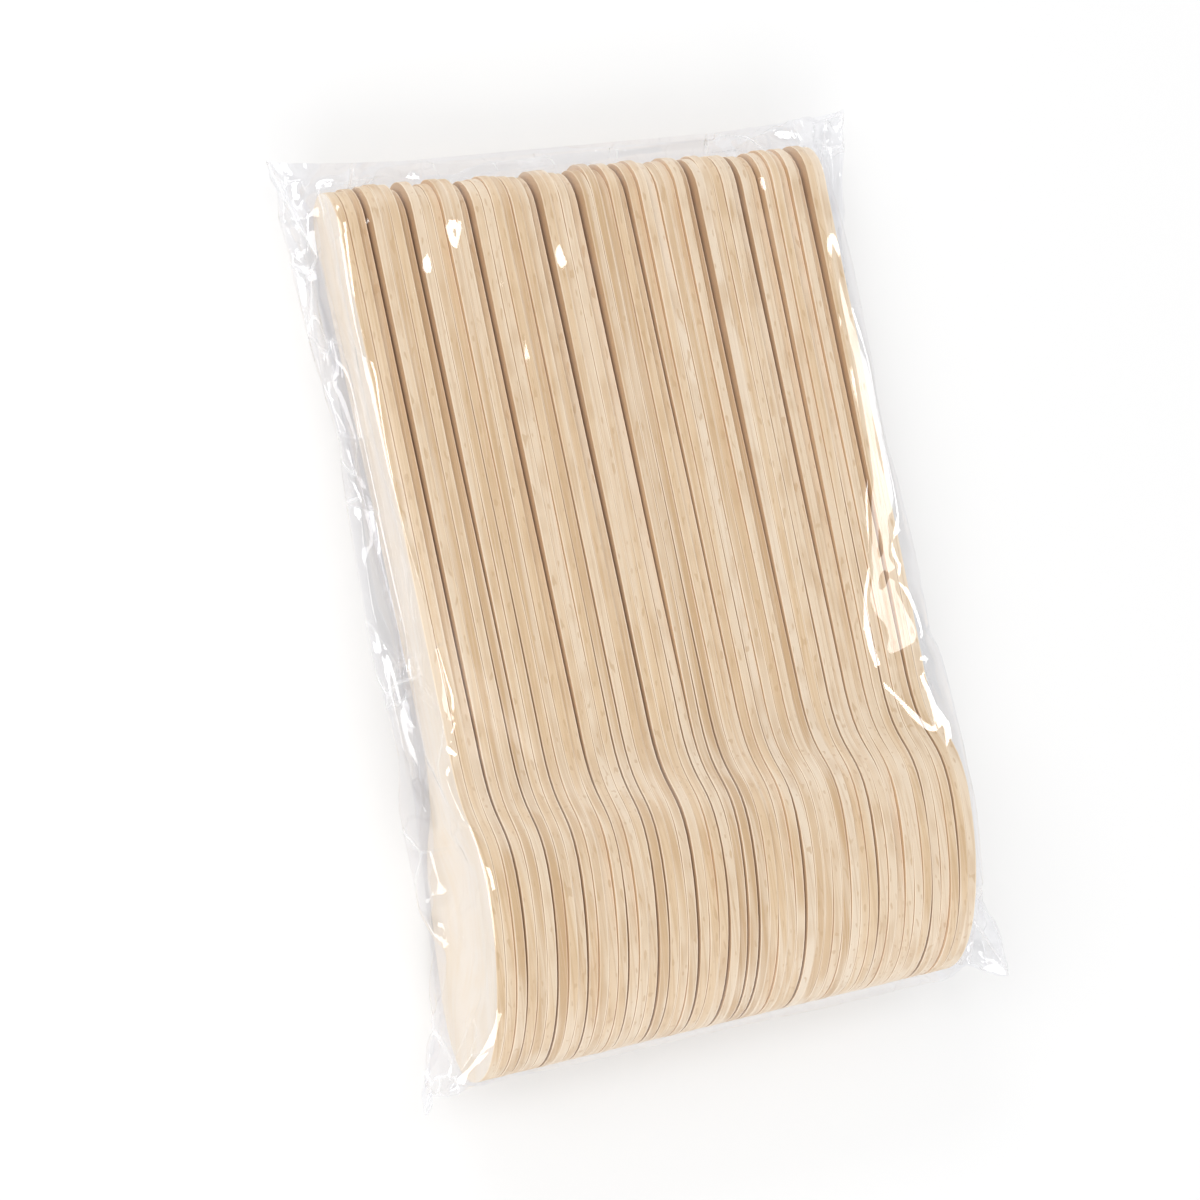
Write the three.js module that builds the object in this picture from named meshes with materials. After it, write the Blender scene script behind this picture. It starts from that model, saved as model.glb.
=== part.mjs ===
// Pack of pressed wooden spoons, nested face to face in a clear film bag and lying on its long edges.
// Millimetres, +Z up. The pack is built in its own frame: X runs through the stack from the first
// spoon to the last, Y from the bowl tips to the handle ends, Z across the width of the spoons.
// The whole pack is then laid down, so that the taut film under it rests on the surface Z = 0.
import * as THREE from "three";

// Spoon blank, cut from one sheet of veneer
const SPOON_COUNT = 50;
const SPOON_LENGTH = 160;
const SPOON_THICKNESS = 1.78;
const BOWL_WIDTH = 33;
const BOWL_WIDEST_AT = 28; // from the bowl tip
const NECK_AT = 60; // from the bowl tip
const NECK_WIDTH = 13;
const HANDLE_WIDTH = 14.4; // at the round end of the handle
const TIP_BLUNTNESS = 0.62; // 0.55 is an ellipse, more is blunter
const SHOULDER_PULL = 0.64; // how softly the bowl runs into the neck

// Pressed form: a dish inside a flat rim, and a bend at the neck that lifts both ends
const DISH_SIDE_RIM = 4; // flat rim between the dish and the bowl's sides
const DISH_TIP_RIM = 7.5; // from the bowl tip to the dish
const DISH_NECK_RIM = 11.5; // from the dish to the neck
const DISH_DEPTH = 3.6;
const DISH_FLOOR_SHARE = 0.46; // size of the flat floor beside the dish's edge
const TIP_LIFT = 4.5;
const HANDLE_LIFT = 2.2;

// Stack: neighbours lie a small gap apart, and stand open after the spoons that are listed
const NESTING_GAP = 0.06;
const OPEN_HANDLE_GAP = 0.55;
const OPEN_HANDLES_AFTER = [3, 7, 13, 20, 24, 29, 36, 41, 43, 48];
const OPEN_BOWL_GAP = 0.3;
const OPEN_BOWLS_AFTER = [3, 6, 9, 13, 16, 17, 20, 23, 25, 26, 31, 39, 45, 48];
const HANDLE_SWAY = 1.2; // how far a handle end strays from the middle plane, at most, either way
const LENGTH_STRAY = 0.6; // how much longer or shorter a handle is, at most

// Film bag: a flat bag with a fold down each side, a seal at the bowls and a mouth at the handles
const FILM = 0.05;
const FILM_CLEARANCE = 0.4;
const MOUTH_GAP = 0.3;
const BOTTOM_SEAL = 2;
const BOTTOM_ROOM = 3; // from the bowl tips to the seal
const MOUTH_ROOM = 2; // from the handle ends to where the two lips meet
const MOUTH_LIP = 4;
const FIRST_FOLD = 7; // how far the side fold stands off the first spoon
const LAST_FOLD = 5; // and off the last one
const DISH_SLACK = 5; // extra film beside the last spoon's dish
const MOUTH_SLACK = 4; // and beside its handle end
const EAR = 3.5; // how much further the bag's corners stand out

const CURVE_STEPS = 7;
const DISH_STEPS = 12;

// A repeatable number from -1 to 1 for a spoon and a property of it
function stray(spoon, property) {
  const s = Math.sin(spoon * 12.9898 + property * 78.233) * 43758.5453;
  return 2 * (s - Math.floor(s)) - 1;
}

// The blank's outline from the bowl tip round the handle end and back, as points (z, y)
function spoonOutline() {
  const bowl = BOWL_WIDTH / 2;
  const neck = NECK_WIDTH / 2;
  const end = HANDLE_WIDTH / 2;
  const endCentre = SPOON_LENGTH - end;
  const tipPull = TIP_BLUNTNESS * bowl;
  const sidePull = BOWL_WIDEST_AT * (1 - TIP_BLUNTNESS);
  const shoulder = (NECK_AT - BOWL_WIDEST_AT) * SHOULDER_PULL;
  const shape = new THREE.Shape();
  shape.moveTo(0, 0);
  shape.bezierCurveTo(tipPull, 0, bowl, sidePull, bowl, BOWL_WIDEST_AT);
  shape.bezierCurveTo(bowl, BOWL_WIDEST_AT + shoulder, neck, NECK_AT - shoulder, neck, NECK_AT);
  shape.lineTo(end, endCentre);
  shape.absarc(0, endCentre, end, 0, Math.PI, false);
  shape.lineTo(-neck, NECK_AT);
  shape.bezierCurveTo(-neck, NECK_AT - shoulder, -bowl, BOWL_WIDEST_AT + shoulder, -bowl, BOWL_WIDEST_AT);
  shape.bezierCurveTo(-bowl, sidePull, -tipPull, 0, 0, 0);
  const points = shape.getPoints(CURVE_STEPS);
  points.pop();
  return points;
}

// An oval round the middle of the dish, as points (z, y) from its tip end: share 1 is the edge of the dish
function dishOval(share) {
  const [start, end] = [DISH_TIP_RIM, NECK_AT - DISH_NECK_RIM];
  const across = (BOWL_WIDTH / 2 - DISH_SIDE_RIM) * share;
  const along = ((end - start) / 2) * share;
  const oval = new THREE.EllipseCurve(0, (start + end) / 2, across, along, -Math.PI / 2, 1.5 * Math.PI);
  const points = oval.getPoints(DISH_STEPS);
  points.pop();
  return points;
}

// How far the press bends the sheet along X, at a distance from the bowl tip
function bend(y) {
  if (y > NECK_AT) return (-HANDLE_LIFT * (y - NECK_AT)) / (SPOON_LENGTH - NECK_AT);
  return -TIP_LIFT * ((NECK_AT - y) / NECK_AT) ** 2;
}

// Triangles between two closed loops of points, the first round the second, by the shorter diagonal at each step
function bridge(points, outer, inner) {
  const faces = [];
  let [i, j] = [0, 0];
  while (i < outer.length || j < inner.length) {
    const [a, b] = [outer[i % outer.length], inner[j % inner.length]];
    const [nextOuter, nextInner] = [outer[(i + 1) % outer.length], inner[(j + 1) % inner.length]];
    const outerStep = points[nextOuter].distanceTo(points[b]);
    const innerStep = points[nextInner].distanceTo(points[a]);
    if (j === inner.length || (i < outer.length && outerStep <= innerStep)) {
      faces.push([a, nextOuter, b]);
      i++;
    } else {
      faces.push([a, nextInner, b]);
      j++;
    }
  }
  return faces;
}

// Triangles that fill a closed loop of points, counter-clockwise
function fill(points, loop) {
  const faces = THREE.ShapeUtils.triangulateShape(loop.map((i) => points[i]), []);
  return faces.map((face) => face.map((corner) => loop[corner]));
}

// Triangles of one face of the sheet in (z, y): handle, rim round the dish, the dish's wall and its floor
function sheetFaces(outline, edge, floor) {
  const points = [...outline, ...edge, ...floor];
  const numbers = points.map((_, i) => i);
  const blank = numbers.slice(0, outline.length);
  const dishEdge = numbers.slice(outline.length, outline.length + edge.length);
  const dishFloor = numbers.slice(outline.length + edge.length);
  const bowl = blank.filter((i) => points[i].y <= NECK_AT);
  const handle = blank.filter((i) => points[i].y >= NECK_AT);
  return [
    ...fill(points, handle),
    ...bridge(points, bowl, dishEdge),
    ...bridge(points, dishEdge, dishFloor),
    ...fill(points, dishFloor),
  ];
}

const OUTLINE = spoonOutline();
const DISH_EDGE = dishOval(1);
const DISH_FLOOR = dishOval(DISH_FLOOR_SHARE);
const SHEET_FACES = sheetFaces(OUTLINE, DISH_EDGE, DISH_FLOOR);

// Where spoon 1, 2, 3 and so on stand along X, with the gaps that open after some of them
function stackPlaces(openAfter, openGap) {
  const places = [0];
  for (let spoon = 1; spoon < SPOON_COUNT; spoon++) {
    const open = openAfter.includes(spoon) ? openGap * (1 + 0.4 * stray(spoon, 1)) : 0;
    places.push(places[spoon - 1] + SPOON_THICKNESS + NESTING_GAP + open);
  }
  return places;
}

const BOWL_PLACES = stackPlaces(OPEN_BOWLS_AFTER, OPEN_BOWL_GAP);
const HANDLE_PLACES = stackPlaces(OPEN_HANDLES_AFTER, OPEN_HANDLE_GAP);
const BOWL_STACK = BOWL_PLACES.at(-1) + SPOON_THICKNESS;
const HANDLE_STACK = HANDLE_PLACES.at(-1) + SPOON_THICKNESS;

// Where the near face of a spoon lies along X, at a distance from the bowl tip. The spoons fan out evenly
// about the middle of the stack between the bowls and the handle ends.
function sheetPlace(spoon, y) {
  const towardsHandle = Math.max(0, y - BOWL_WIDEST_AT) / (SPOON_LENGTH - BOWL_WIDEST_AT);
  const bowl = BOWL_PLACES[spoon - 1] - BOWL_STACK / 2;
  const handle = HANDLE_PLACES[spoon - 1] - HANDLE_STACK / 2;
  return bowl + (handle - bowl) * towardsHandle + bend(y);
}

// A point of a spoon's outline, moved in the plane of the blank. The blank turns about the middle of the dish,
// which its neighbours hold, and a handle beside a gap sinks.
function strayed(spoon, point) {
  const sinks = OPEN_HANDLES_AFTER.includes(spoon);
  const sway = HANDLE_SWAY * (sinks ? -1 : 0.35 + 0.55 * stray(spoon, 2));
  const turn = sway / (SPOON_LENGTH - BOWL_WIDEST_AT);
  const longer = point.y > NECK_AT ? LENGTH_STRAY * stray(spoon, 3) : 0;
  return new THREE.Vector2(point.x + turn * (point.y - BOWL_WIDEST_AT), point.y + longer);
}

function spoonGeometry(spoon) {
  const outline = OUTLINE.map((point) => strayed(spoon, point));
  const flat = [...outline, ...DISH_EDGE, ...DISH_FLOOR];
  const floorStart = OUTLINE.length + DISH_EDGE.length;
  const positions = [];
  for (const side of [0, SPOON_THICKNESS]) {
    flat.forEach((point, i) => {
      const pressed = i >= floorStart ? DISH_DEPTH : 0;
      positions.push(sheetPlace(spoon, point.y) + pressed + side, point.y, point.x);
    });
  }
  const far = flat.length;
  const index = [];
  for (const [a, b, c] of SHEET_FACES) index.push(a, b, c, far + a, far + c, far + b);
  for (let i = 0; i < outline.length; i++) {
    const next = (i + 1) % outline.length;
    index.push(i, far + i, far + next, i, far + next, next);
  }
  return closedGeometry(positions, index);
}

function closedGeometry(positions, index) {
  const geometry = new THREE.BufferGeometry();
  geometry.setAttribute("position", new THREE.Float32BufferAttribute(positions, 3));
  geometry.setIndex(index);
  geometry.computeVertexNormals();
  return geometry;
}

// Half the height of the film over the bowls, and over the handle ends, where it spans straight between them
const FILM_AT_BOWL = BOWL_WIDTH / 2 + FILM_CLEARANCE;
const FILM_AT_HANDLE = HANDLE_WIDTH / 2 + HANDLE_SWAY + FILM_CLEARANCE;
const SPAN_START = BOWL_WIDEST_AT + 4;
const SPAN_END = SPOON_LENGTH - HANDLE_WIDTH / 4;

// A section of the bag across Y: six points (x, z), from the first spoon's fold over the top to the last one's.
function bagSection({ y, half, flare, slack }) {
  const within = THREE.MathUtils.clamp(y, 0, SPOON_LENGTH);
  const first = sheetPlace(1, within) - FILM_CLEARANCE;
  const last = sheetPlace(SPOON_COUNT, within) + SPOON_THICKNESS + FILM_CLEARANCE;
  return [
    new THREE.Vector2(first - FIRST_FOLD - flare, 0),
    new THREE.Vector2(first, -half),
    new THREE.Vector2(last, -half),
    new THREE.Vector2(last + LAST_FOLD + slack + flare, 0),
    new THREE.Vector2(last, half),
    new THREE.Vector2(first, half),
  ];
}

// The same section with every side moved inwards by the film's thickness
function inset(section, distance) {
  return section.map((corner, i) => {
    const before = section.at(i - 1);
    const after = section[(i + 1) % section.length];
    const incoming = corner.clone().sub(before).normalize();
    const outgoing = after.clone().sub(corner).normalize();
    const inwardIn = new THREE.Vector2(-incoming.y, incoming.x);
    const inwardOut = new THREE.Vector2(-outgoing.y, outgoing.x);
    const bisector = inwardIn.add(inwardOut).normalize();
    return corner.clone().addScaledVector(bisector, distance / bisector.dot(inwardOut));
  });
}

// Sections from the seal at the bowls to the mouth at the handles
function bagStations() {
  const lips = MOUTH_GAP / 2 + FILM;
  const tipHalf = BOWL_WIDTH / 4 + FILM_CLEARANCE;
  const endHalf = FILM_AT_HANDLE - HANDLE_WIDTH / 8;
  const mouth = SPOON_LENGTH + LENGTH_STRAY + MOUTH_ROOM;
  return [
    { y: -BOTTOM_ROOM, half: lips, flare: EAR, slack: DISH_SLACK },
    { y: 0, half: tipHalf, flare: EAR * 0.6, slack: DISH_SLACK },
    { y: BOWL_WIDEST_AT * 0.22, half: FILM_AT_BOWL - BOWL_WIDTH * 0.08, flare: EAR * 0.3, slack: DISH_SLACK },
    { y: BOWL_WIDEST_AT * 0.55, half: FILM_AT_BOWL, flare: 0, slack: DISH_SLACK },
    { y: SPAN_START, half: FILM_AT_BOWL, flare: 0, slack: DISH_SLACK },
    { y: NECK_AT, half: spanHalf(NECK_AT), flare: 0, slack: 0 },
    { y: SPAN_END, half: FILM_AT_HANDLE, flare: EAR * 0.3, slack: MOUTH_SLACK * 0.5 },
    { y: SPOON_LENGTH, half: endHalf, flare: EAR * 0.6, slack: MOUTH_SLACK },
    { y: mouth, half: lips, flare: EAR, slack: MOUTH_SLACK },
    { y: mouth + MOUTH_LIP, half: lips, flare: EAR, slack: MOUTH_SLACK },
  ];
}

function spanHalf(y) {
  return THREE.MathUtils.mapLinear(y, SPAN_START, SPAN_END, FILM_AT_BOWL, FILM_AT_HANDLE);
}

// The bag as one skin: up the outside from the seal to the mouth, over the lips and down the inside
function bagGeometry() {
  const stations = bagStations();
  const outer = stations.map((station) => ({ y: station.y, ring: bagSection(station) }));
  const inner = outer.map(({ y, ring }) => ({ y, ring: inset(ring, FILM) })).reverse();
  const seal = { y: -BOTTOM_ROOM - BOTTOM_SEAL, ring: outer[0].ring };
  const rings = [seal, ...outer, ...inner];
  const positions = rings.flatMap(({ y, ring }) => ring.flatMap((corner) => [corner.x, y, corner.y]));
  const sides = seal.ring.length;
  const index = [];
  for (let level = 0; level + 1 < rings.length; level++) {
    const inside = level > outer.length;
    for (let i = 0; i < sides; i++) {
      const next = (i + 1) % sides;
      const [a, b] = [level * sides + i, level * sides + next];
      const [c, d] = [a + sides, b + sides];
      // The inside runs back down, so it takes the other diagonal and stays parallel to the outside
      if (inside) index.push(a, c, b, c, d, b);
      else index.push(a, d, b, a, c, d);
    }
  }
  const lastRing = (rings.length - 1) * sides;
  for (let i = 1; i + 1 < sides; i++) {
    index.push(0, i, i + 1);
    index.push(lastRing, lastRing + i + 1, lastRing + i);
  }
  return closedGeometry(positions, index);
}

function birch(spoon) {
  const colour = new THREE.Color(0.8, 0.66, 0.47).offsetHSL(0, 0, 0.02 * stray(spoon, 4));
  return new THREE.MeshStandardMaterial({ color: colour, roughness: 0.75, metalness: 0 });
}

function clearFilm() {
  return new THREE.MeshStandardMaterial({
    color: 0xf4f4f8,
    roughness: 0.08,
    metalness: 0,
    transparent: true,
    opacity: 0.12,
  });
}

function named(name, geometry, material) {
  const mesh = new THREE.Mesh(geometry, material);
  mesh.name = name;
  return mesh;
}

// The pack lies on the film that spans from the bowls to the handle ends, so it leans by that film's slope
const REST_TILT = Math.atan2(FILM_AT_BOWL - FILM_AT_HANDLE, SPAN_END - SPAN_START);

const stack = new THREE.Group();
for (let spoon = 1; spoon <= SPOON_COUNT; spoon++) {
  const name = `spoon_${String(spoon).padStart(2, "0")}`;
  stack.add(named(name, spoonGeometry(spoon), birch(spoon)));
}

const laidDown = new THREE.Group();
laidDown.add(stack, named("film_bag", bagGeometry(), clearFilm()));
laidDown.rotation.x = -REST_TILT;

// Origin: the middle of the pack's box, on the surface that it lies on
const box = new THREE.Box3().setFromObject(laidDown, true);
const middle = box.getCenter(new THREE.Vector3());
laidDown.position.set(-middle.x, -middle.y, -box.min.z);

const pack = new THREE.Group();
pack.add(laidDown);

export default pack;
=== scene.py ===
"""Wooden spoon pack: pressed birch spoons nested on edge in a clear film bag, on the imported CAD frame."""
import math
import random

import bmesh
import bpy
from bpy.props import FloatProperty, FloatVectorProperty, IntProperty, PointerProperty
from mathutils import Matrix, Vector
from mathutils.geometry import interpolate_bezier


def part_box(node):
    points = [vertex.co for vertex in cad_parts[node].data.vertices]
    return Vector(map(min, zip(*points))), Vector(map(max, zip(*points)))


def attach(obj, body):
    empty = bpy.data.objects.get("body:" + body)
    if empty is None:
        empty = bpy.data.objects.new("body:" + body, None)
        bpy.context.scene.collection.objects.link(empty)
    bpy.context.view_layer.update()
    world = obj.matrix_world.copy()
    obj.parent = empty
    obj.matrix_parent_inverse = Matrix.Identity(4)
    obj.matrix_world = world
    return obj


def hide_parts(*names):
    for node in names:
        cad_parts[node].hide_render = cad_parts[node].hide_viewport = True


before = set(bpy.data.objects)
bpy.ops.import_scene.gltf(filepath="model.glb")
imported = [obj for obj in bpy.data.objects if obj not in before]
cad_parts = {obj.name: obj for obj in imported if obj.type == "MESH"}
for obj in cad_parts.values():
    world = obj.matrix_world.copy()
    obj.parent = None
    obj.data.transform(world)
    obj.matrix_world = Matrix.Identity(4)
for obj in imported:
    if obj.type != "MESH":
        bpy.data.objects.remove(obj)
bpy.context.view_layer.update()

bl_info = {
    "name": "Wooden Spoon Pack",
    "version": (1, 0, 0),
    "blender": (4, 5, 0),
    "location": "View3D > Sidebar > Spoon Pack",
    "description": "Builds a clear film bag of nested wooden spoons on its packed CAD frame",
    "category": "Add Mesh",
}

SPOON_NODES = sorted(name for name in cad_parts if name.startswith("spoon"))
BAG_NODE = "film_bag"

# How the pack lies: where the bowls touch, past their widest place, and how far the floor keeps below.
REST_PAST_WIDEST = 0.004
FLOOR_AT = -0.0003

# Points of the spoon's curves, rows of its quads, and turn in degrees from row to row of its round end.
TIP_POINTS = 22
TIP_START = 9
SHOULDER_POINTS = 14
HANDLE_ROWS = 10
END_ROWS = 3
END_TURN = 15
RIM_ANGLE = math.radians(60)
SMOOTH_ANGLE = math.radians(38)

# Long and short waves of the sanded sides, in radians per metre, and the height of the short ones.
UPPER_WAVES = (55, 140)
LOWER_WAVES = (60, 150)
SHORT_WAVE = 0.6
SPOON_SEED = 7

# Features of the veneer per metre across the layers, along the spoon and across its width.
FIBRES = (2600, 32, 40)
STREAKS = (300, 14, 1300)
BANDS = (520, 9, 200)
CLOUDS = (170, 120, 170)
FLECKS = (1500, 380, 1500)
GRAIN_ROUGHNESS = 0.6
# Where in the veneer a spoon of the palest tone is cut from, along and across, in metres.
CUT_ALONG = 5.3
CUT_ACROSS = 2.9

# Creased film: facets per metre, their lean where flat and creased, and their borders' width and the share of
# painted white highlight along them.
FACETS = (70.0, 42.0, 70.0)
LEAN_FLAT = 0.02
LEAN_CREASED = 0.75
BORDER = 0.026
BORDER_HIGHLIGHT = 0.45
# Share of light that the film mirrors straight on, and what a glancing view adds.
MIRROR_STRAIGHT = 0.10
MIRROR_GLANCING = 0.80

# Side folds of the filled bag: distance from the bowls' tips, then both folds' places along X.
FOLD_STOPS = (
    (-0.008, -0.0605, 0.0604), (0.000, -0.0605, 0.0604), (0.006, -0.0598, 0.0598), (0.020, -0.0575, 0.0590),
    (0.035, -0.0560, 0.0583), (0.060, -0.0550, 0.0552), (0.150, -0.0555, 0.0546), (0.158, -0.0566, 0.0570),
    (0.163, -0.0578, 0.0605), (0.175, -0.0585, 0.0608),
)
# The right fold is tucked under by this much, reached at this distance from the bag's corners.
FOLD_UNDER = -0.004
FOLD_RUN = 0.012
# Film this near to a corner is held firmly, and the rest of the folds loosely.
CORNER_REACH = 0.003
HELD_FIRMLY = 1.0
HELD_LOOSELY = 0.3
# Points this near to a fold are on it, and points past this share of the bag's length are on its mouth.
ON_FOLD = 1e-4
ON_MOUTH = 0.9999

# Half the gap between the sheets of the flat bag, how steeply it opens, and how near joined points are.
FLAT_GAP = 0.0011
FLAT_OPENING = 0.25
JOINED = 1e-6

# The simulation: its scale, the gap it keeps, the share of frames in which the stack swells, and its start.
SIM_SCALE = 10
SIM_GAP = 0.003
FILM_SEED = 3
SWELL_SHARE = 0.7
SWELL_START = 0.02
GROUND_HALF = 0.14
FILM_CLOTH = {
    "quality": 6, "mass": 0.01, "air_damping": 3, "vertex_group_mass": "held", "use_pressure": True,
    "tension_stiffness": 40, "compression_stiffness": 40, "shear_stiffness": 20, "bending_stiffness": 0.02,
    "tension_damping": 1, "compression_damping": 1, "shear_damping": 1, "bending_damping": 0.04,
}

# The form that swells: quads across and along the stack, and how far it stands out at both ends.
FORM_COLUMNS = 8
FORM_STEPS = 12
FORM_SPARE = 0.0003
# A direction in which no two corners of the form lie alike.
SORT_ALONG = Vector((1.0, 1.7, 2.3))
CRUMPLE_ROUNDS = 3

# Soft lamps: place, width and height, power in watts.
SOFTBOXES = {
    "key": ((-1.15, 0.50, 1.25), (0.90, 0.90), 8.4),
    "fill": ((-0.25, -1.25, 1.00), (1.00, 0.70), 8.6),
    "back": ((-0.42, 1.33, 0.92), (0.70, 0.30), 4.0),
    "overhead": ((0.00, 0.45, 1.40), (0.36, 0.36), 2.6),
}
LAMP_AIM = Vector((0, 0, 0.01))
# The room's light on the pack, and what gloss mirrors of it from the walls up to the ceiling.
ROOM_LIGHT = 0.63
MIRRORED_ROOM = {"From Min": 0.40, "From Max": 0.92, "To Min": 1.0, "To Max": 0.25}
# The floor's half width, and its grey and glow as it is seen.
FLOOR_HALF = 1.2
FLOOR_GREY = 0.60
FLOOR_GLOW = 0.31


def size(name, description, default):
    """A length that a user may change, in metres."""
    return FloatProperty(name=name, description=description, default=default, unit="LENGTH", precision=5)


def share(name, description, default):
    """A plain share, mostly between 0 and 1, that a user may change."""
    return FloatProperty(name=name, description=description, default=default, subtype="FACTOR", precision=3)


def colour(name, description, default):
    """A linear colour that a user may change."""
    return FloatVectorProperty(name=name, description=description, default=default, subtype="COLOR",
                               min=0, max=1)


class SpoonSizes(bpy.types.PropertyGroup):
    """The pressed spoon, as the CAD model draws it."""
    length: size("Length", "Tip of the bowl to the end of the handle", 0.16)
    thickness: size("Thickness", "Thickness of the pressed veneer", 0.00178)
    bowl_width: size("Bowl Width", "Bowl at its widest", 0.033)
    widest_at: size("Widest At", "Tip to the widest place of the bowl", 0.028)
    neck_at: size("Neck At", "Tip to the neck", 0.06)
    neck_width: size("Neck Width", "Handle at the neck", 0.013)
    handle_width: size("Handle Width", "Handle at its round end", 0.0144)
    tip_bluntness: share("Tip Bluntness", "How square the bowl's tip is", 0.62)
    shoulder_pull: share("Shoulder Pull", "How long the bowl's shoulders run into the neck", 0.64)
    dish_side_rim: size("Dish Side Rim", "Flat rim beside the dish", 0.004)
    dish_tip_rim: size("Dish Tip Rim", "Flat rim between the dish and the tip", 0.0075)
    dish_depth: size("Dish Depth", "Depth of the pressed dish", 0.0036)
    dish_floor: share("Dish Floor", "Flat floor of the dish as a share of its oval", 0.46)
    tip_lift: size("Tip Lift", "How far the tip is bent up", 0.0045)
    handle_lift: size("Handle Lift", "How far the handle's end is bent up", 0.0022)
    corner: size("Corner", "Width of the eased rims", 0.00007)
    waver: size("Waver", "How far the sanded sides stray from a true line", 0.00012)
    columns: IntProperty(name="Columns", description="Quads across a spoon", default=14, min=4)


class FilmSizes(bpy.types.PropertyGroup):
    """The flat film bag, and how the pack lies in it."""
    flat_width: size("Flat Width", "Width of the empty bag, laid flat", 0.136)
    flat_length: size("Flat Length", "Length of the empty bag, laid flat", 0.182)
    below_tips: size("Below Tips", "How far the flat bag reaches below the bowls' tips", 0.011)
    clearance: size("Clearance", "Gap between the bowls and the film", 0.0004)
    sway: size("Sway", "How far the handle ends stray to a side of the stack", 0.0012)
    step: size("Step", "Size of the film's quads", 0.002)
    seal_at: size("Seal At", "Where the seal ends up, from the bowls' tips", -0.005)
    mouth_at: size("Mouth At", "Where the mouth ends up, from the bowls' tips", 0.167)
    mouth_sag: size("Mouth Sag", "How far the mouth hangs in between its corners", 0.0025)
    ear: size("Ear", "Film at each side of the mouth that is gathered into its corner", 0.036)
    crumple: size("Crumple", "Unevenness of the flat film before it is filled", 0.00003)
    suction: FloatProperty(name="Suction", description="Pull of the emptied bag on its film", default=1.5)
    frames: IntProperty(name="Frames", description="Frames of cloth simulation", default=46, min=10)


class PackColours(bpy.types.PropertyGroup):
    """Colours of the wood, the film and the stage."""
    edge: colour("Edge", "Cut edges of the veneer", (0.785, 0.59, 0.375))
    edge_dark: colour("Dark Edge", "Darker cut edges", (0.62, 0.42, 0.23))
    edge_pale: colour("Pale Edge", "Paler cut edges", (0.865, 0.73, 0.56))
    rim: colour("Rim", "Eased rims of the cut edges", (0.95, 0.80, 0.61))
    face: colour("Face", "Broad faces of the outer spoons", (0.90, 0.815, 0.71))
    # Painted shade: the inner spoons' faces get a darker colour than the outer faces, so the gaps between the
    # spoons look shaded.
    shaded_inner_face: colour("Shaded Inner Face", "Broad faces of the spoons inside the stack", (0.70, 0.485, 0.285))
    film: colour("Film", "Tint of the film seen through", (0.975, 0.976, 0.987))
    floor: colour("Floor", "Floor under the pack", (0.90, 0.90, 0.90))


class StageSizes(bpy.types.PropertyGroup):
    """The camera, which looks down on the pack as the photograph looks at it."""
    place: FloatVectorProperty(name="Place", description="Where the camera stands",
                               default=(-0.19369, 0.00558, 0.44895), subtype="XYZ", unit="LENGTH")
    aim: FloatVectorProperty(name="Aim", description="What the camera points at",
                             default=(-0.00989, -0.00081, 0.01375), subtype="XYZ", unit="LENGTH")
    roll: FloatProperty(name="Roll", description="Turn of the camera about its view",
                        default=math.radians(-9.15), subtype="ANGLE")
    lens: FloatProperty(name="Lens", description="Focal length in millimetres", default=77.4)


class Recipe:
    """A material's node tree, written one node at a time."""

    def __init__(self, name):
        self.material = bpy.data.materials.new(name)
        self.material.use_nodes = True
        self.tree = self.material.node_tree
        self.tree.nodes.clear()

    def add(self, kind, inputs=None, **settings):
        """A node with its settings, and its inputs set to a value or linked to another node's output."""
        made = self.tree.nodes.new("ShaderNode" + kind)
        for setting, value in settings.items():
            setattr(made, setting, value)
        for key, value in (inputs or {}).items():
            if isinstance(value, bpy.types.NodeSocket):
                self.tree.links.new(value, made.inputs[key])
            else:
                made.inputs[key].default_value = value
        return made

    def maths(self, operation, first, second=0.0, third=0.0):
        """One operation on up to three values."""
        return self.add("Math", {0: first, 1: second, 2: third}, operation=operation).outputs[0]

    def between(self, value, low, high, to_low=0.0, to_high=1.0):
        """A value taken smoothly from one range to another, held at its ends."""
        inputs = {"Value": value, "From Min": low, "From Max": high, "To Min": to_low, "To Max": to_high}
        return self.add("MapRange", inputs, interpolation_type="SMOOTHSTEP").outputs["Result"]

    def mix(self, factor, first, second):
        """Two colours mixed."""
        made = self.add("Mix", {"Factor": factor}, data_type="RGBA")
        for key, value in ((6, first), (7, second)):
            if isinstance(value, bpy.types.NodeSocket):
                self.tree.links.new(value, made.inputs[key])
            else:
                made.inputs[key].default_value = (*value[:3], 1.0)
        return made.outputs[2]

    def layered(self, base, layers):
        """A colour with shades laid over it, each where its pattern goes from low to high, up to a share."""
        for pattern, low, high, most, shade in layers:
            base = self.mix(self.between(pattern, low, high, 0.0, most), base, shade)
        return base

    def vector_maths(self, operation, first, second):
        """One operation on two vectors."""
        return self.add("VectorMath", {0: first, 1: second}, operation=operation).outputs[0]

    def attribute(self, name):
        """A value that the piece keeps for each of its points."""
        return self.add("Attribute", attribute_name=name).outputs["Fac"]

    def noise(self, vector, scale, detail=2.0, roughness=0.5):
        """Noise stretched by a scale for each axis, in features per metre."""
        stretched = self.vector_maths("MULTIPLY", vector, scale)
        inputs = {"Vector": stretched, "Scale": 1.0, "Detail": detail, "Roughness": roughness}
        return self.add("TexNoise", inputs).outputs["Fac"]

    def finish(self, surface):
        """Links the surface and hands over the material."""
        self.add("OutputMaterial", {"Surface": surface})
        return self.material


def rest_tilt(spoon, film):
    """Turn of the pack about X as it lies on its bowls and handle ends."""
    fall = spoon.bowl_width / 2 - spoon.handle_width / 2 - film.sway
    run = spoon.length - spoon.handle_width / 4 - (spoon.widest_at + REST_PAST_WIDEST)
    return math.atan2(fall, run)


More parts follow.
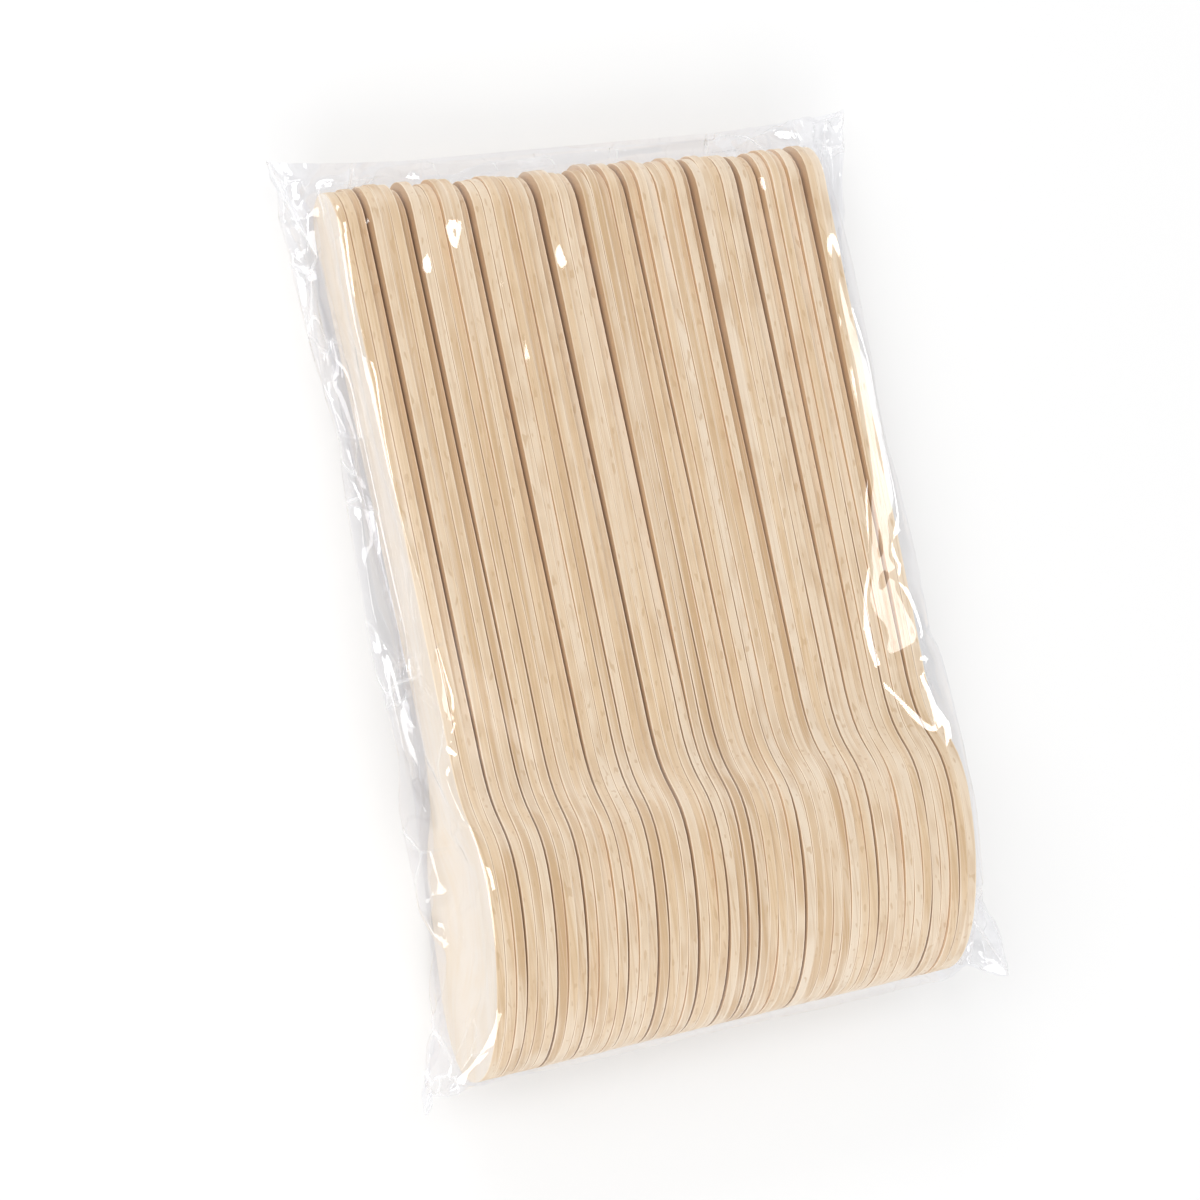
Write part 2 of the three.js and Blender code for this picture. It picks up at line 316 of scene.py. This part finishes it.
def lay_down(spoon, film):
    """Takes the upright pack, tips at Y = 0 and its middle plane at Z = 0, to where it lies in the frame."""
    tilt = rest_tilt(spoon, film)
    at_bowl = spoon.bowl_width / 2 + film.clearance
    height = at_bowl * math.cos(tilt) + (spoon.widest_at + REST_PAST_WIDEST) * math.sin(tilt)
    middle = SPOON_NODES[len(SPOON_NODES) // 2 - 1]
    return Matrix.Translation((0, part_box(middle)[0].y, height)) @ Matrix.Rotation(-tilt, 4, "X")


def bend(spoon, y):
    """How far the pressed blank is bent up at a distance from the tip."""
    if y > spoon.neck_at:
        return -spoon.handle_lift * (y - spoon.neck_at) / (spoon.length - spoon.neck_at)
    return -spoon.tip_lift * ((spoon.neck_at - y) / spoon.neck_at) ** 2


def dish(spoon, y, z):
    """How deep the pressed dish is at a place on the bowl."""
    across = z / (spoon.bowl_width / 2 - spoon.dish_side_rim)
    along = (y - spoon.widest_at) / (spoon.widest_at - spoon.dish_tip_rim)
    slope = (1 - math.hypot(across, along)) / (1 - spoon.dish_floor)
    slope = min(1, max(0, slope))
    return spoon.dish_depth * slope * slope * (3 - 2 * slope)


def tip_curve(spoon):
    """Half widths and distances from the tip round to the widest place of the bowl."""
    half = spoon.bowl_width / 2
    start, end = Vector((0, 0)), Vector((half, spoon.widest_at))
    start_pull = Vector((spoon.tip_bluntness * half, 0))
    end_pull = Vector((half, spoon.widest_at * (1 - spoon.tip_bluntness)))
    return interpolate_bezier(start, start_pull, end_pull, end, TIP_POINTS)


def shoulder_curve(spoon):
    """Half widths and distances from the widest place of the bowl to the neck."""
    half, neck = spoon.bowl_width / 2, spoon.neck_width / 2
    pull = spoon.shoulder_pull * (spoon.neck_at - spoon.widest_at)
    start, end = Vector((half, spoon.widest_at)), Vector((neck, spoon.neck_at))
    start_pull, end_pull = Vector((half, spoon.widest_at + pull)), Vector((neck, spoon.neck_at - pull))
    return interpolate_bezier(start, start_pull, end_pull, end, SHOULDER_POINTS)


def side_rows(spoon):
    """Half widths and distances down one side, from beside the tip to the round of the handle's end."""
    round_end = spoon.handle_width / 2
    straight = spoon.length - round_end
    rows = tip_curve(spoon)[TIP_START:] + shoulder_curve(spoon)[1:]
    for part in range(1, HANDLE_ROWS + 1):
        width = spoon.neck_width / 2 + (round_end - spoon.neck_width / 2) * part / HANDLE_ROWS
        rows.append(Vector((width, spoon.neck_at + (straight - spoon.neck_at) * part / HANDLE_ROWS)))
    for part in range(1, END_ROWS + 1):
        turn = math.radians(END_TURN * part)
        rows.append(Vector((round_end * math.cos(turn), straight + round_end * math.sin(turn))))
    return rows


def tip_distance(curve, width):
    """Distance from the tip at which the tip's curve has a half width."""
    for first, second in zip(curve, curve[1:]):
        if width <= second.x:
            return first.y + (second.y - first.y) * (width - first.x) / (second.x - first.x)
    return curve[-1].y


def spoon_blank(spoon, columns):
    """A flat sheet of quads in the spoon's outline, its width along Z and its length along Y."""
    bm = bmesh.new()
    rows, tip = side_rows(spoon), tip_curve(spoon)
    round_end = spoon.handle_width / 2
    straight = spoon.length - round_end
    bmesh.ops.create_grid(bm, x_segments=columns, y_segments=len(rows) - 1, size=1)
    bm.verts.ensure_lookup_table()
    for row, (width, y) in enumerate(rows):
        near_tip = max(0, 1 - (y - rows[0].y) / (spoon.widest_at - rows[0].y)) ** 2
        near_end = max(0, 1 - (rows[-1].y - y) / (2 * round_end)) ** 2
        for column in range(columns + 1):
            across = 2 * column / columns - 1
            to_tip = tip_distance(tip, abs(across) * rows[0].x) - rows[0].y
            to_end = straight + math.sqrt(round_end ** 2 - (across * rows[-1].x) ** 2) - rows[-1].y
            vert = bm.verts[row * (columns + 1) + column]
            vert.co = (0, y + near_tip * to_tip + near_end * to_end, across * width)
    return bm


class Seat:
    """Where a packed spoon sits in the stack, read from its CAD node in the upright pack."""

    def __init__(self, node, spoon, upright):
        points = [upright @ vert.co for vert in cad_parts[node].data.vertices]
        tip = min(points, key=lambda point: (round(point.y, 5), point.x))
        end = max(points, key=lambda point: (round(point.y, 5), -point.x))
        self.bowl = tip.x + spoon.tip_lift
        self.handle = end.x + spoon.handle_lift
        self.turn = (end.z - tip.z) / spoon.length
        self.longer = end.y - tip.y - spoon.length

    def near_face(self, spoon, y):
        """Place along X of the spoon's hollow face at a distance from the tip, without its dish."""
        toward_end = max(0, y - spoon.widest_at) / (spoon.length - spoon.widest_at)
        return self.bowl + (self.handle - self.bowl) * toward_end + bend(spoon, y)


def add_piece(name, bm, material, node):
    """Makes a finished mesh a piece that stands for a CAD node and takes a slot's finish."""
    mesh = bpy.data.meshes.new(name)
    bm.to_mesh(mesh)
    bm.free()
    mesh.materials.append(material)
    piece = bpy.data.objects.new(name, mesh)
    bpy.context.scene.collection.objects.link(piece)
    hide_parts(node)
    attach(piece, "root")
    return piece


def keep_values(piece, name, values):
    """Keeps a value for each point of a piece, for its material to read."""
    kept = piece.data.attributes.new(name, "FLOAT", "POINT")
    kept.data.foreach_set("value", values)


def waver_at(y, waves, phases):
    """How a sanded side strays at a distance from the tip, in a long wave and a short one."""
    return math.sin(y * waves[0] + phases[0]) + SHORT_WAVE * math.sin(y * waves[1] + phases[1])


def press_spoon(spoon, seat, lay, rng):
    """One spoon: its blank bent and dished, given its thickness, and its rims eased."""
    bm = spoon_blank(spoon, spoon.columns)
    phases = [rng.uniform(0, 2 * math.pi) for _ in range(4)]
    straight = spoon.length - spoon.handle_width / 2
    for vert in bm.verts:
        y, z = vert.co.y, vert.co.z
        waver = waver_at(y, UPPER_WAVES, phases[:2]) if z > 0 else waver_at(y, LOWER_WAVES, phases[2:])
        x = seat.near_face(spoon, y) + dish(spoon, y, z)
        longer = seat.longer * min(1, max(0, y - spoon.neck_at) / (straight - spoon.neck_at))
        side = z * (1 + spoon.waver * waver / (spoon.handle_width / 2))
        vert.co = (x, y + longer, side + seat.turn * (y - spoon.widest_at))
    grown = bmesh.ops.extrude_face_region(bm, geom=bm.faces[:])["geom"]
    far_side = [part for part in grown if isinstance(part, bmesh.types.BMVert)]
    bmesh.ops.translate(bm, verts=far_side, vec=(spoon.thickness, 0, 0))
    bmesh.ops.recalc_face_normals(bm, faces=bm.faces[:])
    rims = [edge for edge in bm.edges if edge.calc_face_angle(0) > RIM_ANGLE]
    bmesh.ops.bevel(bm, geom=rims, offset=spoon.corner, offset_type="OFFSET", segments=1, profile=0.5,
                    affect="EDGES", material=-1, clamp_overlap=True)
    through = bm.verts.layers.float.new("through")
    for vert in bm.verts:
        near = seat.near_face(spoon, vert.co.y) + dish(spoon, vert.co.y, vert.co.z)
        vert[through] = (vert.co.x - near) / spoon.thickness
    bmesh.ops.transform(bm, matrix=lay, verts=bm.verts[:])
    for face in bm.faces:
        face.smooth = True
    return bm


def birch(colours, tilt):
    """Unfinished birch veneer: fibres along the spoon, a tone for each spoon, pale sanded rims, and painted
    shade on the faces of the inner spoons.
    """
    wood = Recipe("birch_veneer")
    place = wood.add("TexCoord").outputs["Object"]
    tone, outer, through = (wood.attribute(name) for name in ("tone", "outer", "through"))
    upright = wood.add("Mapping", {"Vector": place, "Rotation": (tilt, 0, 0)}).outputs["Vector"]
    along, across = wood.maths("MULTIPLY", tone, CUT_ALONG), wood.maths("MULTIPLY", tone, CUT_ACROSS)
    cut_from = wood.add("CombineXYZ", {"Y": along, "Z": across}).outputs[0]
    grain_place = wood.vector_maths("ADD", upright, cut_from)
    fibres = wood.noise(grain_place, FIBRES, detail=1, roughness=GRAIN_ROUGHNESS)
    streaks = wood.noise(grain_place, STREAKS, detail=1, roughness=GRAIN_ROUGHNESS)
    bands = wood.noise(grain_place, BANDS, detail=0)
    clouds = wood.noise(grain_place, CLOUDS, detail=1)
    flecks = wood.noise(grain_place, FLECKS, detail=0)
    off_middle = wood.maths("ABSOLUTE", wood.maths("MULTIPLY_ADD", through, 2.0, -1.0))
    broad = wood.between(off_middle, 0.93, 0.99)
    worn = wood.between(bands, 0.30, 0.60, 0.40, 1.0)
    rim = wood.maths("MULTIPLY", wood.between(off_middle, 0.64, 0.86), worn)
    ramp = wood.add("ValToRGB", {"Fac": tone})
    stops = ((0.0, colours.edge_dark), (0.35, colours.edge), (0.6, colours.edge), (1.0, colours.edge_pale))
    for index, (position, shade) in enumerate(stops):
        stop = ramp.color_ramp.elements[index] if index < 2 else ramp.color_ramp.elements.new(position)
        stop.position, stop.color = position, (*shade, 1.0)
    edge = wood.layered(ramp.outputs["Color"], (
        (bands, 0.40, 0.68, 0.60, colours.edge_pale),
        (clouds, 0.45, 0.72, 0.45, colours.edge_dark),
        (fibres, 0.52, 0.66, 0.38, colours.edge_dark),
        (fibres, 0.46, 0.34, 0.28, colours.edge_pale),
        (flecks, 0.68, 0.76, 0.60, colours.edge_dark),
    ))
    edge = wood.mix(rim, edge, colours.rim)
    face = wood.layered(colours.face, (
        (clouds, 0.40, 0.70, 0.25, colours.edge_pale),
        (bands, 0.45, 0.70, 0.35, colours.edge_pale),
        (streaks, 0.45, 0.70, 0.35, colours.edge_pale),
    ))
    # Painted shade: every spoon but the first and the last takes the darker inner face colour, which darkens
    # the gaps between them.
    face = wood.mix(outer, colours.shaded_inner_face, face)
    both = wood.mix(broad, edge, face)
    grain = wood.add("Bump", {"Strength": 0.3, "Distance": 0.0001, "Height": fibres}).outputs["Normal"]
    rough = wood.between(fibres, 0.3, 0.8, 0.58, 0.75)
    surface = wood.add("BsdfPrincipled", {"Base Color": both, "Roughness": rough, "Specular IOR Level": 0.3,
                                          "Normal": grain})
    return wood.finish(surface.outputs["BSDF"])


def clear_film(colours):
    """Clear glossy film: it passes light with a faint tint, mirrors more at a glancing view, and has a
    painted white highlight along the borders of its creased facets.
    """
    film = Recipe("clear_film")
    place = film.add("TexCoord").outputs["Object"]
    creased = film.between(film.attribute("crumple"), 0.20, 0.80)
    cells = {"Vector": film.vector_maths("MULTIPLY", place, FACETS), "Scale": 1.0}
    facets = film.add("TexVoronoi", cells).outputs["Color"]
    lean = film.vector_maths("SUBTRACT", facets, (0.5, 0.5, 0.5))
    by = film.maths("MULTIPLY_ADD", creased, LEAN_CREASED, LEAN_FLAT)
    leaning = film.add("VectorMath", {0: lean, "Scale": by}, operation="SCALE").outputs[0]
    tipped = film.vector_maths("ADD", film.add("NewGeometry").outputs["Normal"], leaning)
    ripple = film.add("VectorMath", {0: tipped}, operation="NORMALIZE").outputs[0]
    facing = film.add("LayerWeight", {"Blend": 0.5, "Normal": ripple}).outputs["Facing"]
    glance = film.maths("POWER", facing, 5.0)
    mirror = film.maths("MULTIPLY_ADD", glance, MIRROR_GLANCING, MIRROR_STRAIGHT)
    through = film.add("BsdfTransparent", {"Color": (*colours.film, 1.0)}).outputs["BSDF"]
    shine = {"Color": (1, 1, 1, 1), "Roughness": 0.05, "Normal": ripple}
    gloss = film.add("BsdfGlossy", shine).outputs["BSDF"]
    clear = film.add("MixShader", {0: mirror, 1: through, 2: gloss}).outputs[0]
    # Painted highlight: thin lines of diffuse white along the facet borders where the film is creased,
    # standing in for the glint of its creases.
    border = film.add("TexVoronoi", cells, feature="DISTANCE_TO_EDGE").outputs["Distance"]
    line = film.between(border, 0.0, BORDER, BORDER_HIGHLIGHT, 0.0)
    crease_highlight = film.maths("MULTIPLY", line, film.maths("POWER", creased, 2.0))
    white = film.add("BsdfDiffuse", {"Color": (0.96, 0.96, 0.97, 1.0)}).outputs["BSDF"]
    return film.finish(film.add("MixShader", {0: crease_highlight, 1: clear, 2: white}).outputs[0])


class SPOONPACK_OT_spoons(bpy.types.Operator):
    """Presses every spoon of the stack where its CAD node sits"""
    bl_idname = "spoonpack.spoons"
    bl_label = "Press Spoons"

    def execute(self, context):
        spoon, film = context.scene.pack_spoon, context.scene.pack_film
        lay = lay_down(spoon, film)
        wood = birch(context.scene.pack_colours, rest_tilt(spoon, film))
        rng = random.Random(SPOON_SEED)
        for node in SPOON_NODES:
            seat = Seat(node, spoon, lay.inverted())
            bm = press_spoon(spoon, seat, lay, rng)
            piece = add_piece("birch_" + node, bm, wood, node)
            points = len(piece.data.vertices)
            keep_values(piece, "tone", [rng.random()] * points)
            # Marks the first and the last spoon, which keep the plain face colour; the others get the painted
            # shade of the gaps.
            keep_values(piece, "outer", [float(node in (SPOON_NODES[0], SPOON_NODES[-1]))] * points)
            piece.data.set_sharp_from_angle(angle=SMOOTH_ANGLE)
        return {"FINISHED"}


def fold_place(y, left):
    """Place along X of a side fold of the filled bag, at a distance from the bowls' tips."""
    side = 1 if left else 2
    for first, second in zip(FOLD_STOPS, FOLD_STOPS[1:]):
        if y <= second[0]:
            part = (y - first[0]) / (second[0] - first[0])
            return first[side] + (second[side] - first[side]) * part
    return FOLD_STOPS[-1][side]


def flat_bag(film, columns, rows, rng):
    """The empty bag: two sheets joined at both folds, the seal and, until it is filled, the mouth."""
    bm = bmesh.new()
    bmesh.ops.create_grid(bm, x_segments=columns, y_segments=rows, size=1)
    half_width, half_length = film.flat_width / 2, film.flat_length / 2
    for vert in bm.verts:
        to_edge = min((1 - abs(vert.co.x)) * half_width, (1 - abs(vert.co.y)) * half_length)
        lift = min(FLAT_GAP, FLAT_OPENING * to_edge)
        lift = lift if lift > JOINED else 0
        x, y = vert.co.x * half_width, (vert.co.y + 1) * half_length - film.below_tips
        vert.co = (x, y, lift)
    doubled = bmesh.ops.duplicate(bm, geom=bm.verts[:] + bm.edges[:] + bm.faces[:])["geom"]
    back = [part for part in doubled if isinstance(part, bmesh.types.BMVert)]
    bmesh.ops.scale(bm, verts=back, vec=(1, 1, -1))
    bmesh.ops.reverse_faces(bm, faces=[part for part in doubled if isinstance(part, bmesh.types.BMFace)])
    bmesh.ops.remove_doubles(bm, verts=bm.verts[:], dist=JOINED)
    mouth = film.flat_length - film.below_tips - JOINED
    for edge in bm.edges:
        edge.seam = all(vert.co.y > mouth for vert in edge.verts)
    for vert in bm.verts:
        vert.co.z += rng.gauss(0, film.crumple)
    return bm


def in_order(bm):
    """The same form with its corners and faces sorted by place, so that every run simulates alike."""
    bm.verts.sort(key=lambda vert: vert.co.dot(SORT_ALONG))
    bm.verts.index_update()
    rings = []
    for face in bm.faces:
        ring = [vert.index for vert in face.verts]
        start = ring.index(min(ring))
        rings.append(ring[start:] + ring[:start])
    ordered = bmesh.new()
    corners = [ordered.verts.new(vert.co) for vert in bm.verts]
    for ring in sorted(rings):
        ordered.faces.new([corners[index] for index in ring])
    bm.free()
    return ordered


def stack_form(spoon, film, first, last):
    """The whole stack as one smooth form for the film to lie on, a little fuller than the spoons."""
    bm = spoon_blank(spoon, FORM_COLUMNS)
    for vert in bm.verts:
        handle = min(1, max(0, vert.co.y - spoon.widest_at) / (spoon.length - spoon.widest_at))
        spare = film.clearance / 2 + (film.sway - film.clearance / 4) * handle
        vert.co.z *= 1 + spare / (spoon.bowl_width / 2 + (spoon.handle_width - spoon.bowl_width) / 2 * handle)
    grown = bmesh.ops.extrude_face_region(bm, geom=bm.faces[:])["geom"]
    far_side = [part for part in grown if isinstance(part, bmesh.types.BMVert)]
    bmesh.ops.translate(bm, verts=far_side, vec=(1, 0, 0))
    bmesh.ops.recalc_face_normals(bm, faces=bm.faces[:])
    across = [edge for edge in bm.edges if edge.calc_length() > 0.9]
    bmesh.ops.subdivide_edges(bm, edges=across, cuts=FORM_STEPS - 1, use_grid_fill=True)
    for vert in bm.verts:
        y, z = vert.co.y, vert.co.z
        near = first.near_face(spoon, y) - FORM_SPARE
        far = last.near_face(spoon, y) + dish(spoon, y, z) + spoon.thickness + FORM_SPARE
        vert.co.x = near + (far - near) * round(vert.co.x * FORM_STEPS) / FORM_STEPS
    return in_order(bm)


def key_over(owner, field, stops):
    """Keys a field at frames."""
    for at, value in stops:
        setattr(owner, field, value)
        owner.keyframe_insert(field, frame=at)


def sim_object(name, bm):
    """A helper for the simulation, drawn larger, since cloth gaps can't go below a millimetre."""
    bmesh.ops.scale(bm, verts=bm.verts[:], vec=(SIM_SCALE, SIM_SCALE, SIM_SCALE))
    mesh = bpy.data.meshes.new(name)
    bm.to_mesh(mesh)
    bm.free()
    helper = bpy.data.objects.new(name, mesh)
    bpy.context.scene.collection.objects.link(helper)
    return helper


def block_film(helper):
    """Makes a helper stop the film."""
    helper.modifiers.new("Collision", "COLLISION")
    helper.collision.thickness_outer = SIM_GAP
    helper.collision.cloth_friction = 1


def fill_bag(bag, stack, floor, film):
    """Swells the stack inside the flat bag, tucks in the folds, and leaves the film as it comes to rest."""
    grown = int(film.frames * SWELL_SHARE)
    stack.shape_key_add(name="Basis")
    thin = stack.shape_key_add(name="Thin")
    for point in thin.data:
        point.co.z *= SWELL_START
    key_over(thin, "value", ((1, 1), (grown, 0)))
    block_film(stack)
    block_film(floor)
    half_width = film.flat_width / 2 * SIM_SCALE
    held = bag.vertex_groups.new(name="held")
    bag.shape_key_add(name="Basis")
    tucked = bag.shape_key_add(name="Tucked")
    for vert in bag.data.vertices:
        down = (vert.co.y / SIM_SCALE + film.below_tips) / film.flat_length
        if half_width - abs(vert.co.x) > ON_FOLD and down < ON_MOUTH:
            continue
        to_ear = min(down, 1 - down) * film.flat_length
        y = film.seal_at + (film.mouth_at - film.seal_at) * down
        flat_x = vert.co.x / SIM_SCALE
        gathered = max(0, abs(flat_x) - film.flat_width / 2 + film.ear) / film.ear
        inner = math.copysign(min(abs(flat_x), film.flat_width / 2 - film.ear), flat_x)
        x = inner + gathered * (fold_place(y, flat_x < 0) - inner)
        y -= film.mouth_sag * math.sqrt(max(0, 1 - gathered))
        under = 0 if vert.co.x < 0 else FOLD_UNDER * min(1, to_ear / FOLD_RUN)
        tucked.data[vert.index].co = Vector((x, y, under)) * SIM_SCALE
        held.add([vert.index], HELD_FIRMLY if to_ear < CORNER_REACH else HELD_LOOSELY, "REPLACE")
    key_over(tucked, "value", ((1, 0), (grown, 1)))
    cloth = bag.modifiers.new("Cloth", "CLOTH")
    cloth.point_cache.frame_end = film.frames
    for field, value in FILM_CLOTH.items():
        setattr(cloth.settings, field, value)
    cloth.settings.effector_weights.gravity = 0
    key_over(cloth.settings, "uniform_pressure_force", ((1, 0), (grown // 2, 0), (grown, -film.suction)))
    cloth.collision_settings.distance_min = SIM_GAP
    cloth.collision_settings.collision_quality = 3
    cloth.collision_settings.use_self_collision = False
    scene = bpy.context.scene
    for at in range(1, film.frames + 1):
        scene.frame_set(at)
    rested = bag.evaluated_get(bpy.context.evaluated_depsgraph_get())
    bm = bmesh.new()
    bm.from_mesh(rested.data)
    for helper in (bag, stack, floor):
        bpy.data.objects.remove(helper)
    scene.frame_set(1)
    return bm


def crumple_of(bm):
    """How sharply the film is bent round each point, evened out over its neighbours."""
    bm.verts.index_update()
    bent = []
    for vert in bm.verts:
        angles = [edge.calc_face_angle(0) for edge in vert.link_edges]
        bent.append(sum(angles) / len(angles))
    for _ in range(CRUMPLE_ROUNDS):
        bent = [(bent[vert.index] + sum(bent[edge.other_vert(vert).index] for edge in vert.link_edges))
                / (1 + len(vert.link_edges)) for vert in bm.verts]
    return bent


class SPOONPACK_OT_film(bpy.types.Operator):
    """Fills a flat film bag with the stack and lets it crinkle"""
    bl_idname = "spoonpack.film"
    bl_label = "Fill Film Bag"

    def execute(self, context):
        spoon, film = context.scene.pack_spoon, context.scene.pack_film
        lay = lay_down(spoon, film)
        step = film.step * 1
        columns, rows = round(film.flat_width / step), round(film.flat_length / step)
        ends = [Seat(node, spoon, lay.inverted()) for node in (SPOON_NODES[0], SPOON_NODES[-1])]
        bag = sim_object("flat_bag", flat_bag(film, columns, rows, random.Random(FILM_SEED)))
        stack = sim_object("stack_form", stack_form(spoon, film, *ends))
        ground = bmesh.new()
        bmesh.ops.create_grid(ground, x_segments=8, y_segments=10, size=GROUND_HALF)
        bmesh.ops.translate(ground, verts=ground.verts[:], vec=(0, 0, FLOOR_AT))
        bmesh.ops.transform(ground, verts=ground.verts[:], matrix=lay.inverted())
        bm = fill_bag(bag, stack, sim_object("ground", ground), film)
        bmesh.ops.split_edges(bm, edges=[edge for edge in bm.edges if edge.seam])
        scale = 1 / SIM_SCALE
        bmesh.ops.scale(bm, verts=bm.verts[:], vec=(scale, scale, scale))
        bmesh.ops.transform(bm, verts=bm.verts[:], matrix=lay)
        for face in bm.faces:
            face.smooth = True
        crumpled = crumple_of(bm)
        piece = add_piece("clear_bag", bm, clear_film(context.scene.pack_colours), BAG_NODE)
        keep_values(piece, "crumple", crumpled)
        finer = piece.modifiers.new("Finer", "SUBSURF")
        finer.levels = finer.render_levels = 1
        return {"FINISHED"}


class SPOONPACK_OT_stage(bpy.types.Operator):
    """Sets the floor, the soft lights and the camera"""
    bl_idname = "spoonpack.stage"
    bl_label = "Set Stage"

    def execute(self, context):
        scene = context.scene
        scene.view_settings.view_transform = "Standard"
        self.lay_floor(scene.pack_colours)
        self.light_world(scene)
        for name, (place, extent, power) in SOFTBOXES.items():
            self.hang_softbox(name, place, extent, power)
        self.set_camera(scene)
        return {"FINISHED"}

    def lay_floor(self, colours):
        """A wide pale floor just under the pack, which keeps its shadow."""
        bm = bmesh.new()
        bmesh.ops.create_grid(bm, x_segments=4, y_segments=4, size=FLOOR_HALF)
        bmesh.ops.translate(bm, verts=bm.verts[:], vec=(0, 0, FLOOR_AT))
        mesh = bpy.data.meshes.new("floor")
        bm.to_mesh(mesh)
        bm.free()
        paper = Recipe("floor_paper")
        path = paper.add("LightPath").outputs
        seen = paper.maths("MAXIMUM", path["Is Camera Ray"], path["Is Glossy Ray"])
        matt = paper.add("BsdfDiffuse", {"Color": (*colours.floor, 1.0)}).outputs["BSDF"]
        grey = paper.add("BsdfDiffuse", {"Color": (FLOOR_GREY, FLOOR_GREY, FLOOR_GREY, 1.0)}).outputs["BSDF"]
        glow = paper.add("Emission", {"Color": (1, 1, 1, 1), "Strength": FLOOR_GLOW}).outputs["Emission"]
        pale = paper.add("AddShader", {0: grey, 1: glow}).outputs[0]
        surface = paper.add("MixShader", {0: seen, 1: matt, 2: pale}).outputs[0]
        mesh.materials.append(paper.finish(surface))
        floor = bpy.data.objects.new("floor", mesh)
        bpy.context.scene.collection.objects.link(floor)

    def light_world(self, scene):
        """A soft grey room, seen as white, and mirrored as white walls under a darker ceiling."""
        world = bpy.data.worlds.new("room")
        scene.world = world
        world.use_nodes = True
        nodes, links = world.node_tree.nodes, world.node_tree.links
        path = nodes.new("ShaderNodeLightPath")
        level = nodes.new("ShaderNodeMapRange")
        level.inputs["To Min"].default_value = ROOM_LIGHT
        level.inputs["To Max"].default_value = 1.0
        links.new(path.outputs["Is Camera Ray"], level.inputs["Value"])
        height = nodes.new("ShaderNodeSeparateXYZ")
        links.new(nodes.new("ShaderNodeTexCoord").outputs["Generated"], height.inputs[0])
        walls = nodes.new("ShaderNodeMapRange")
        for key, value in MIRRORED_ROOM.items():
            walls.inputs[key].default_value = value
        links.new(height.outputs["Z"], walls.inputs["Value"])
        either = nodes.new("ShaderNodeMix")
        links.new(path.outputs["Is Glossy Ray"], either.inputs["Factor"])
        links.new(level.outputs["Result"], either.inputs["A"])
        links.new(walls.outputs["Result"], either.inputs["B"])
        links.new(either.outputs["Result"], nodes["Background"].inputs["Strength"])
        nodes["Background"].inputs["Color"].default_value = (1, 1, 1, 1)

    def hang_softbox(self, name, place, extent, power):
        """A rectangular soft lamp that faces the pack."""
        lamp = bpy.data.lights.new(name, "AREA")
        lamp.shape = "RECTANGLE"
        lamp.size, lamp.size_y = extent
        lamp.energy = power
        hung = bpy.data.objects.new(name, lamp)
        hung.location = place
        hung.rotation_euler = (LAMP_AIM - Vector(place)).to_track_quat("-Z", "Y").to_euler()
        bpy.context.scene.collection.objects.link(hung)

    def set_camera(self, scene):
        """Looks down on the pack from the photograph's side, turned about the view as there."""
        stage = scene.pack_stage
        view = (Vector(stage.aim) - Vector(stage.place)).normalized()
        level_up = (Vector((0, 1, 0)) - view * view.y).normalized()
        level_right = view.cross(level_up)
        right = level_right * math.cos(stage.roll) + level_up * math.sin(stage.roll)
        up = right.cross(view)
        lens = bpy.data.cameras.new("camera")
        lens.lens, lens.sensor_width = stage.lens, 36
        lens.clip_start = 0.01
        camera = bpy.data.objects.new("camera", lens)
        turn = Matrix((right, up, -view)).transposed().to_4x4()
        camera.matrix_world = Matrix.Translation(stage.place) @ turn
        scene.collection.objects.link(camera)
        scene.camera = camera


class VIEW3D_PT_spoonpack(bpy.types.Panel):
    """Lists the steps and the sizes of the pack"""
    bl_label = "Spoon Pack"
    bl_space_type = "VIEW_3D"
    bl_region_type = "UI"
    bl_category = "Spoon Pack"

    def draw(self, context):
        for step in (SPOONPACK_OT_spoons, SPOONPACK_OT_film, SPOONPACK_OT_stage):
            self.layout.operator(step.bl_idname)
        for group in (getattr(context.scene, name) for name in GROUPS):
            box = self.layout.box()
            for field in group.bl_rna.properties.keys():
                if field not in {"rna_type", "name"}:
                    box.prop(group, field)


CLASSES = (SpoonSizes, FilmSizes, PackColours, StageSizes, SPOONPACK_OT_spoons, SPOONPACK_OT_film,
           SPOONPACK_OT_stage, VIEW3D_PT_spoonpack)
GROUPS = {
    "pack_spoon": SpoonSizes,
    "pack_film": FilmSizes,
    "pack_colours": PackColours,
    "pack_stage": StageSizes,
}


def register():
    for item in CLASSES:
        bpy.utils.register_class(item)
    for name, group in GROUPS.items():
        setattr(bpy.types.Scene, name, PointerProperty(type=group))


def unregister():
    for name in GROUPS:
        delattr(bpy.types.Scene, name)
    for item in reversed(CLASSES):
        bpy.utils.unregister_class(item)


def main():
    register()
    bpy.ops.spoonpack.spoons()
    bpy.ops.spoonpack.film()
    bpy.ops.spoonpack.stage()


if __name__ == "__main__":
    main()
